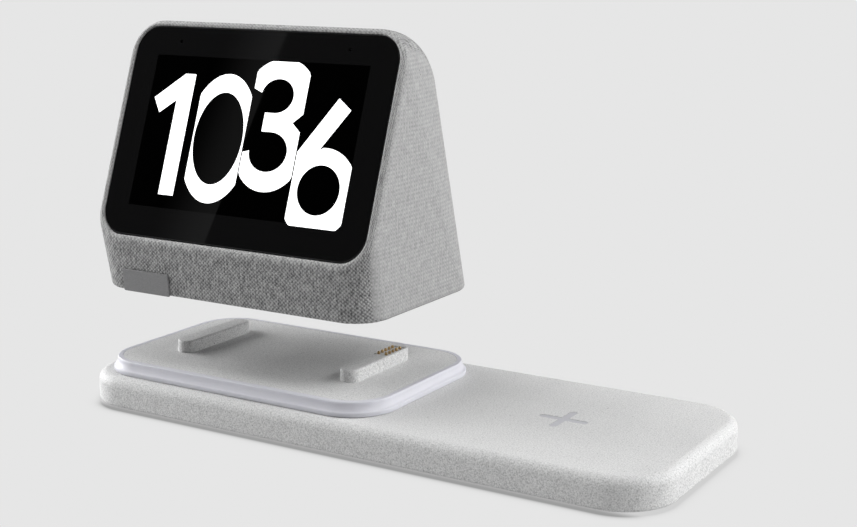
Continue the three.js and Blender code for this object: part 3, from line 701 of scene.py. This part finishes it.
# ---- the cloth cover ---------------------------------------------------------------------------
def unit_hull(name, inset, fine):
    """The display unit's outside, moved in by inset: the hull of face, round back and foot."""
    corner_steps, edge_steps, arc_steps = (20, 10, 40) if fine else (6, 3, 10)

    def levels(edge):
        round_left = max(edge - inset, 0)
        count = edge_steps if round_left else 0
        angles = [QUARTER * i / max(count, 1) for i in range(count + 1)]
        return [
            (inset + round_left * (1 - math.cos(a)), inset + round_left * (1 - math.sin(a)))
            for a in angles
        ]

    points = []
    face_height = glass_height + RIM_BELOW + RIM_ABOVE
    face_middle = (glass_height + RIM_ABOVE - RIM_BELOW) / 2
    to_unit = UNIT.inverted() @ FACE
    for across, down in levels(FACE_EDGE):
        width = 2 * (FACE_HALF_WIDTH - across)
        rim = outline(width, face_height - 2 * across, FACE_CORNER - across, corner_steps, 0, face_middle)
        points += [to_unit @ Vector((x, y, RIM_PROUD - down)) for x, y in rim]
    for across, down in levels(SKIRT_EDGE):
        width = 2 * (SKIRT_HALF_WIDTH - across)
        depth = SKIRT_BACK - SKIRT_FRONT - 2 * across
        middle = (SKIRT_BACK + SKIRT_FRONT) / 2
        foot = outline(width, depth, SKIRT_CORNER - across, corner_steps, 0, middle)
        points += [Vector((x, y, SKIRT_Z + down)) for x, y in foot]
    for across, down in levels(BACK_EDGE):
        for i in range(arc_steps + 1):
            angle = back_lean + (QUARTER - back_lean) * i / arc_steps
            y = BACK_Y + (BACK_RADIUS - across) * math.cos(angle)
            z = BACK_Z + (BACK_RADIUS - across) * math.sin(angle)
            points += [Vector((side * (BACK_HALF_WIDTH - down), y, z)) for side in (-1, 1)]
    bm = bmesh.new()
    for point in points:
        bm.verts.new(point)
    hull = bmesh.ops.convex_hull(bm, input=bm.verts)
    loose = {v for v in hull["geom_interior"] + hull["geom_unused"] if isinstance(v, bmesh.types.BMVert)}
    bmesh.ops.delete(bm, geom=list(loose), context="VERTS")
    return mesh_object(name, bm, UNIT)


def snapped(piece, target):
    """Moves the piece's vertices onto the nearest points of the target's surface."""
    graph = bpy.context.evaluated_depsgraph_get()
    surface = BVHTree.FromObject(target, graph)
    for vertex in piece.data.vertices:
        vertex.co = surface.find_nearest(vertex.co)[0]
    return piece


def glass_opening():
    """A cutter for the screen's opening that rounds the cloth over towards the glass."""
    bend, bend_steps = 1.1, 8
    levels = [(GAP, -3)]
    for i in range(bend_steps + 1):
        angle = QUARTER * i / bend_steps
        levels.append((GAP + bend * (1 - math.cos(angle)), RIM_PROUD - bend * (1 - math.sin(angle))))
    levels.append((GAP + bend, 3))
    rings = []
    for reach, z in levels:
        width, height = glass_width + 2 * reach, glass_height + 2 * reach
        rings.append((outline(width, height, GLASS_CORNER + reach, 24, 0, glass_height / 2), z))
    return lofted("opening", rings, FACE)


def foot_opening():
    width = 2 * (SKIRT_HALF_WIDTH - WRAP_UNDER)
    depth = SKIRT_BACK - SKIRT_FRONT - 2 * WRAP_UNDER
    middle = (SKIRT_BACK + SKIRT_FRONT) / 2
    return slab("opening", width, depth, SKIRT_CORNER - WRAP_UNDER, 0, SKIRT_Z + 2 * CLOTH, UNIT, cy=middle)


def port_opening():
    width, height = PORT_WIDTH + 2 * GAP, PORT_HEIGHT + 2 * GAP
    return slab("opening", width, height, PORT_CORNER + GAP, -4, 2, BACK, cy=PORT_UP)


def key_opening(side):
    width, depth = KEY_WIDTH + 2 * GAP, KEY_DEPTH + 2 * GAP
    low, high = BACK_RADIUS - 6, BACK_RADIUS + 2
    return slab("opening", width, depth, depth / 2 - 0.1, low, high, KEYS, cx=side * KEY_SPREAD)


def eased(piece, rounds):
    """Rounds the cut edges a little, as folded cloth is: relaxes the vertices near sharp edges."""
    sharp_from = 0.9
    bm = bmesh.new()
    bm.from_mesh(piece.data)
    bm.normal_update()
    edges = [e for e in bm.edges if len(e.link_faces) == 2 and e.calc_face_angle() > sharp_from]
    sharp = {v for e in edges for v in e.verts}
    near = {v for s in sharp for e in s.link_edges for v in e.verts}
    for _ in range(rounds):
        every = {"use_axis_x": True, "use_axis_y": True, "use_axis_z": True}
        bmesh.ops.smooth_vert(bm, verts=list(near), factor=0.5, **every)
    bm.to_mesh(piece.data)
    bm.free()
    return piece


def cloth_cover():
    fine = unit_hull("hull", 0, True)
    cover = unit_hull("cloth_cover", 0, True)
    remesh = cover.modifiers.new("even", "REMESH")
    remesh.mode = "VOXEL"
    remesh.voxel_size = 0.9 * MM
    snapped(applied(cover), fine)
    bpy.data.objects.remove(fine)
    openings = [glass_opening(), foot_opening(), port_opening(), key_opening(-1), key_opening(1)]
    carved(cover, unit_hull("inside", CLOTH, False), *openings)
    eased(cover, 2)
    smoothed(cover, 60)
    dressed(cover, CLOTH_LOOK, "display", "heather_fabric", "fabric_wrap")
    return cover


cloth_cover()


# ---- glass and numerals ------------------------------------------------------------------------
def screen_glass():
    size = (glass_width, glass_height, GLASS_CORNER, -GLASS_THICK, 0)
    glass = slab("screen_glass", *size, FACE, top=0.35, cy=glass_height / 2)
    holes = [
        slab("hole", 1.1, 1.1, 0.54, -3, 1, FACE, cx=side * MIC_X, cy=MIC_UP, steps=6) for side in (-1, 1)
    ]
    smoothed(carved(glass, *holes), 30)
    return dressed(glass, GLASS_LOOK, "display", "black_glass", "cover_glass")


def arc(cx, cy, rx, ry, start, end, steps=28):
    """Points of an oval's arc, angles in degrees."""
    angles = [math.radians(start + (end - start) * i / steps) for i in range(steps + 1)]
    return [(cx + rx * math.cos(a), cy + ry * math.sin(a)) for a in angles]


def within(points, left, right, low, high):
    """The points pushed inside a numeral's own column."""
    return [(min(max(x, left), right), min(max(y, low), high)) for x, y in points]


def numeral(name, outlines):
    """A flat lit numeral from closed outlines on the face, holes included."""
    curve = bpy.data.curves.new(name, "CURVE")
    curve.dimensions = "2D"
    curve.fill_mode = "BOTH"
    curve.extrude = NUMERAL_PROUD / 2
    for points in outlines:
        spline = curve.splines.new("POLY")
        spline.points.add(len(points) - 1)
        for point, (x, y) in zip(spline.points, points):
            point.co = (x, y, 0, 1)
        spline.use_cyclic_u = True
    holder = linked("holder", curve)
    graph = bpy.context.evaluated_depsgraph_get()
    mesh = bpy.data.meshes.new_from_object(holder.evaluated_get(graph))
    mesh.transform(FACE @ Matrix.Translation((0, 0, NUMERAL_PROUD)))
    bpy.data.objects.remove(holder)
    return dressed(linked(name, mesh), DIGITS, "display", "screen")


def numeral_one():
    left, right = -31.7, -25.3
    foot, top = 14.8, 56.6
    flag = [(-29.8, top), (-41.5, 47.8), (-38.2, 42.7), (left, 47.4)]
    return numeral("numeral_1", [[(right, foot), (right, top), *flag, (left, foot)]])


def numeral_zero():
    middle, up = -COLUMN / 2, 35.5
    outer = within(arc(middle, up, 14.4, 21.9, 0, 360, 120), -COLUMN + 0.1, -0.25, 0, 99)
    return numeral("numeral_0", [outer, arc(middle - 0.1, up, 10.1, 15.6, 0, 360, 96)])


def numeral_three():
    right = COLUMN - 0.35
    upper = within(arc(10.8, 51.4, 13.6, 12.2, 150, -28), 0.15, right, 0, 62.6)
    lower = within(arc(10.8, 33.2, 13.6, 13.9, 28, -150), 0.15, right, 0, 99)
    inner_low = arc(10.3, 32.5, 7.6, 6.6, -180, 92)
    inner_up = arc(9.9, 51.1, 6.5, 5.7, -88, 172)
    points = [(0.15, 53.2)] + upper + [(17.9, 42.6)] + lower + [(0.15, 31.8)]
    points += inner_low + [(6.2, 39.1), (6.2, 45.4)] + inner_up
    return numeral("numeral_3", [points])


def numeral_six():
    left, right = COLUMN + 0.1, 2 * COLUMN + 0.1
    bowl = within(arc(32.8, 20.9, 14.1, 14.6, 94, -200, 90), left, right, 9.65, 99)
    points = bowl + [(21.9, 33.4), (34.2, 51.7), (39.5, 48.1), (30.2, 34.6)]
    return numeral("numeral_6", [points, arc(32.7, 21.8, 8.1, 8.1, 0, 360, 72)])


screen_glass()
numeral_one()
numeral_zero()
numeral_three()
numeral_six()


# ---- label -------------------------------------------------------------------------------------
def cloth_label():
    """The blank label sewn to the chin, leaning outwards with it."""
    low, high = size_of("fabric_tag")
    width, height = high.x - low.x, high.z - low.z
    lean = math.atan2(high.y - low.y - LABEL_THICK, height)
    place = (
        DOCK
        @ Matrix.Translation(((low.x + high.x) / 2, high.y, low.z))
        @ Matrix.Rotation(QUARTER + lean, 4, "X")
    )
    size = (width, height / math.cos(lean), 0.5, 0, LABEL_THICK)
    label = slab("cloth_label", *size, place, top=0.2, cy=height / 2, steps=6)
    smoothed(label)
    return dressed(label, TAG_LOOK, "display", "tag_weave", "fabric_tag")


cloth_label()


# ---- dock --------------------------------------------------------------------------------------
def plus_cutter(span, arm, low, high):
    middle = (mark_low.x + mark_high.x) / 2
    bars = [
        slab("bar", width, depth, arm / 2 - 0.05, low, high, DOCK, cx=middle, steps=10)
        for width, depth in ((span, arm), (arm, span))
    ]
    return joined(*bars)


def dock_shell():
    length = dock_high.x - dock_low.x
    width = dock_high.y - dock_low.y
    size = (length, width, DOCK_CORNER, dock_low.z, dock_high.z)
    shell = slab("dock_shell", *size, DOCK, top=DOCK_EDGE, bottom=DOCK_UNDERCUT, steps=28)
    ceiling = dock_high.z - DOCK_WALL
    size = (length - 2 * DOCK_WALL, width - 2 * DOCK_WALL, DOCK_CORNER - DOCK_WALL, 0, ceiling)
    inside = slab("inside", *size, DOCK)
    ring_length = ring_high.x - ring_low.x - 2 * RING_BULGE
    ring_width = ring_high.y - ring_low.y - 2 * RING_BULGE
    ledge, well_floor = 5, 8
    size = (ring_length - 2 * ledge, ring_width - 2 * ledge, PLINTH_CORNER - ledge)
    well = slab("well", *size, well_floor, dock_high.z + ABOVE, DOCK, cx=unit_x)
    span = mark_high.x - mark_low.x + 2 * MARK_GAP
    mark = plus_cutter(span, MARK_ARM, dock_high.z - MARK_DEPTH, dock_high.z + ABOVE)
    usb_low, usb_high = size_of("usb_port")
    usb_depth, usb_corner = 9, 0.4
    size = (usb_high.x - usb_low.x + 2 * GAP, usb_depth, usb_corner, usb_low.z - GAP, usb_high.z + GAP)
    usb = slab("usb", *size, DOCK, cx=(usb_low.x + usb_high.x) / 2, cy=dock_high.y)
    jack_low, jack_high = size_of("dock_power_jack")
    jack_place = (
        DOCK
        @ Matrix.Translation(((jack_low.x + jack_high.x) / 2, dock_high.y, (jack_low.z + jack_high.z) / 2))
        @ Matrix.Rotation(QUARTER, 4, "X")
    )
    jack_width, jack_reach = 6, 5
    jack = slab("jack", jack_width, jack_width, 2.99, -jack_reach, jack_reach, jack_place)
    carved(shell, inside, well, mark, usb, jack)
    smoothed(shell)
    return dressed(shell, SPECKLED, "dock", "speckled_plastic", "dock_top_shell")


def plus_mark():
    mark = plus_cutter(mark_high.x - mark_low.x, MARK_ARM - 2 * MARK_GAP, mark_low.z, mark_high.z)
    mark.name = "plus_mark"
    smoothed(mark)
    return dressed(mark, MARK_LOOK, "dock", "frosted_diffuser", "charge_mark")


def glow_ring():
    """The plinth's translucent rim: a rounded foot, a soft hollow above it and a thin lip."""
    length = ring_high.x - ring_low.x - 2 * RING_BULGE
    width = ring_high.y - ring_low.y - 2 * RING_BULGE
    low, high = ring_low.z, ring_high.z
    steps, inner = 8, 4
    lip, hollow_top, hollow_drop = 0.15, high - 0.4, 2.6
    bulge_wide, bulge_high = 0.5, 0.7
    hollow_wide = RING_BULGE - lip - bulge_wide
    sweep = math.radians(65)
    profile = [(RING_BULGE - 0.06, low - 0.12), (RING_BULGE, low)]
    for i in range(steps + 1):
        angle = QUARTER * i / steps
        reach = RING_BULGE - bulge_wide * (1 - math.cos(angle))
        z = hollow_top - hollow_drop - bulge_high * (1 - math.sin(angle))
        profile.append((reach, z))
    for i in range(steps - 1, -1, -1):
        angle = sweep * i / steps
        reach = lip + hollow_wide * (1 - math.cos(angle)) / (1 - math.cos(sweep))
        profile.append((reach, hollow_top - hollow_drop * math.sin(angle) / math.sin(sweep)))
    profile += [(0.05, high - 0.2), (-0.1, high - 0.06), (-0.3, high)]
    rings = []
    for reach, z in profile:
        points = outline(length + 2 * reach, width + 2 * reach, PLINTH_CORNER + reach, 24, unit_x)
        rings.append((points, z))
    ring = lofted("glow_ring", rings, DOCK)
    rebate = (seat_high.x - seat_low.x + 2 * SEAT_GAP, seat_high.y - seat_low.y + 2 * SEAT_GAP)
    size = (*rebate, SEAT_CORNER + SEAT_GAP, seat_low.z - GAP, 18)
    upper = slab("upper", *size, DOCK, cx=unit_x, steps=24)
    size = (length - 2 * inner, width - 2 * inner, PLINTH_CORNER - inner, 10, 15)
    lower = slab("lower", *size, DOCK, cx=unit_x, steps=24)
    smoothed(carved(ring, upper, lower))
    return dressed(ring, RING_LOOK, "dock", "frosted_diffuser", "light_ring")


def seat():
    """The plinth's top with the two raised tabs, one slotted for the contact block."""
    length = seat_high.x - seat_low.x
    width = seat_high.y - seat_low.y
    top = ring_high.z
    plate = slab("seat", length, width, SEAT_CORNER, seat_low.z, top, DOCK, top=0.15, cx=unit_x, steps=24)
    size = (TAB_WIDTH, TAB_LENGTH, TAB_WIDTH / 2 - 0.02, top - 1, seat_high.z)
    tabs = [slab("tab", *size, DOCK, top=0.7, cx=unit_x + side * TAB_SPREAD, cy=TAB_Y) for side in (-1, 1)]
    joined(plate, *tabs)
    block_low, block_high = size_of("pin_block")
    slot_corner, below, above = 0.8, 10, 24
    size = (block_high.x - block_low.x + 2 * GAP, block_high.y - block_low.y + 2 * GAP)
    size = (*size, slot_corner, below, above)
    middle = (block_low + block_high) / 2
    slot = slab("slot", *size, DOCK, cx=middle.x, cy=middle.y, steps=6)
    smoothed(carved(plate, slot))
    return dressed(plate, SPECKLED, "dock", "speckled_plastic", "seat_plate")


def contact_pins():
    for i in range(1, 11):
        low, high = size_of(f"contact_pin_{i}")
        radius = (high.x - low.x) / 2
        place = DOCK @ Matrix.Translation(((low.x + high.x) / 2, (low.y + high.y) / 2, 0))
        bends = [0, 0.3, 0.6, 0.9, 1.2, 1.4]  # angles up the rounded tip
        tip = [(radius * math.cos(a), high.z - radius * 0.8 * (1 - math.sin(a))) for a in bends]
        profile = [(0, low.z), (radius * 0.9, low.z), (radius, low.z + 0.1), *tip, (0, high.z)]
        pin = turned(f"spring_pin_{i}", profile, place, 20)
        smoothed(pin)
        dressed(pin, GOLD, f"contact_pin_{i}", "gold_plating", f"contact_pin_{i}")


dock_shell()
plus_mark()
glow_ring()
seat()
contact_pins()


# ---- stage, lights and camera --------------------------------------------------------------------
def floor_look():
    """Paper that glows evenly and shows no cast shadow; a dark line round the dock stands for it."""
    look = Look("floor_paper", color=(0, 0, 0), roughness=1.0)
    x, y, z = look.split(look.place)
    off = beyond(look, x, y, dock_high.x * MM, dock_high.y * MM, DOCK_CORNER * MM)
    shadow = look.math("EXPONENT", look.times(off, -1 / SHADOW_REACH))
    # Most of the light comes from the two ends, so the line is deepest along the front.
    ahead = look.ease(y, (dock_low.y + 1) * MM, (dock_low.y + 6) * MM, 1.0, 0.35)
    shadow = look.times(shadow, ahead)
    look.glow(look.tint(shadow, (PAPER_LIGHT,) * 3, (PAPER_LIGHT * SHADOW_DEPTH,) * 3))
    return look.material


def square(reach, z):
    return [(reach * x, reach * y, z) for x, y in ((-1, -1), (1, -1), (1, 1), (-1, 1))]


def staged(name, bm, material):
    """A stage object from a bmesh in metres."""
    made = object_from(name, bm)
    made.data.materials.append(material)
    return made


def hidden_from(thing, *rays):
    for ray in rays:
        setattr(thing, f"visible_{ray}", False)


def flat_card(name, corners, material):
    bm = bmesh.new()
    bm.faces.new([bm.verts.new(corner) for corner in corners])
    return staged(name, bm, material)


def backdrop():
    """Pale walls far round the floor and a ceiling, seen by the camera and lighting nothing."""
    look = Look("backdrop_paper", color=(0, 0, 0), roughness=1.0)
    grain = look.noise(5.0, 2.0, 0.5)
    uneven = 0.003
    look.glow(look.tint(grain, (PAPER_LIGHT - uneven,) * 3, (PAPER_LIGHT + uneven,) * 3))
    bm = bmesh.new()
    low = [bm.verts.new(corner) for corner in square(WALL_REACH, 0)]
    high = [bm.verts.new(corner) for corner in square(WALL_REACH, WALL_REACH)]
    for i in range(4):
        j = (i + 1) % 4
        bm.faces.new((low[i], low[j], high[j], high[i]))
    bm.faces.new(high)
    walls = staged("backdrop", bm, look.material)
    hidden_from(walls, "diffuse", "glossy", "shadow", "transmission")


def mirrored(x, y):
    """Where the camera's ray to a point of the glass goes, CARD_AWAY after the glass."""
    point = FACE @ Vector((x, y, 0))
    normal = (FACE.to_3x3() @ Vector((0, 0, 1))).normalized()
    ray = (point - EYE).normalized()
    return point + CARD_AWAY * (ray - 2 * ray.dot(normal) * normal)


def sheen_card():
    """A dim card seen only in reflections, placed so that the camera at rest sees it in the glass."""
    below, over = -8, 81
    edge_low, edge_high = mirrored(-10.1, below), mirrored(10.8, over)
    fade_low, fade_high = mirrored(-36, below), mirrored(-17, over)
    edge = (edge_high - edge_low).normalized()
    across = (fade_low - edge_low) - (fade_low - edge_low).dot(edge) * edge
    reach = across.length
    across.normalize()
    look = Look("sheen_card", color=(0, 0, 0), roughness=1.0)
    inputs = {0: look.place, 1: across}
    run = look.add("ShaderNodeVectorMath", inputs, operation="DOT_PRODUCT").outputs["Value"]
    start = edge_low.dot(across)
    fade = look.ease(run, start + reach, start)
    look.glow(look.tint(fade, (0, 0, 0), (CARD_LIGHT,) * 3))
    card = flat_card("sheen_card", [edge_low, edge_high, fade_high, fade_low], look.material)
    hidden_from(card, "camera", "diffuse", "shadow", "transmission")


def soft_light(name, bearing, height, power, away=FAR, size=FAR_SIZE, glossy=True):
    """A square light that looks at the centre; bearing 0 is in front, 90 at the right."""
    turn, rise = math.radians(bearing), math.radians(height)
    flat = away * math.cos(rise)
    place = CENTRE + Vector((flat * math.sin(turn), -flat * math.cos(turn), away * math.sin(rise)))
    light = bpy.data.lights.new(name, "AREA")
    light.size = size
    light.energy = power
    lamp = linked(name, light)
    lamp.location = place
    lamp.rotation_euler = (CENTRE - place).to_track_quat("-Z", "Y").to_euler()
    lamp.visible_glossy = glossy


def camera():
    lens = bpy.data.cameras.new("camera")
    lens.lens = LENS
    eye = linked("camera", lens)
    eye.location = EYE
    eye.rotation_euler = (QUARTER - CAMERA_DIP, 0, CAMERA_TURN)
    bpy.context.scene.camera = eye


flat_card("floor", square(FLOOR_REACH, 0), floor_look())
backdrop()
sheen_card()
soft_light("right_up", 90, 45, 7.6)
soft_light("right_low", 135, 12, 3.1)
soft_light("right_back_up", 135, 45, 2)
soft_light("right_near", 120, 20, 0.95, NEAR, NEAR_SIZE)
soft_light("left_low", 270, 12, 13)
soft_light("left_up", 270, 45, 1)
# These four light the object but are kept out of the glass and other glossy reflections.
soft_light("left_near", 285, 15, 0.8, NEAR, NEAR_SIZE, glossy=False)
soft_light("left_top_near", 300, 70, 0.6, 0.5, NEAR_SIZE, glossy=False)
soft_light("front_left_up", 315, 45, 1.9, glossy=False)
soft_light("front_up", 20, 35, 0.5, glossy=False)
world = bpy.data.worlds.new("studio")
world.use_nodes = True
world.node_tree.nodes["Background"].inputs[0].default_value = (0.003, 0.003, 0.003, 1)
bpy.context.scene.world = world
bpy.context.scene.view_settings.view_transform = "Standard"
camera()
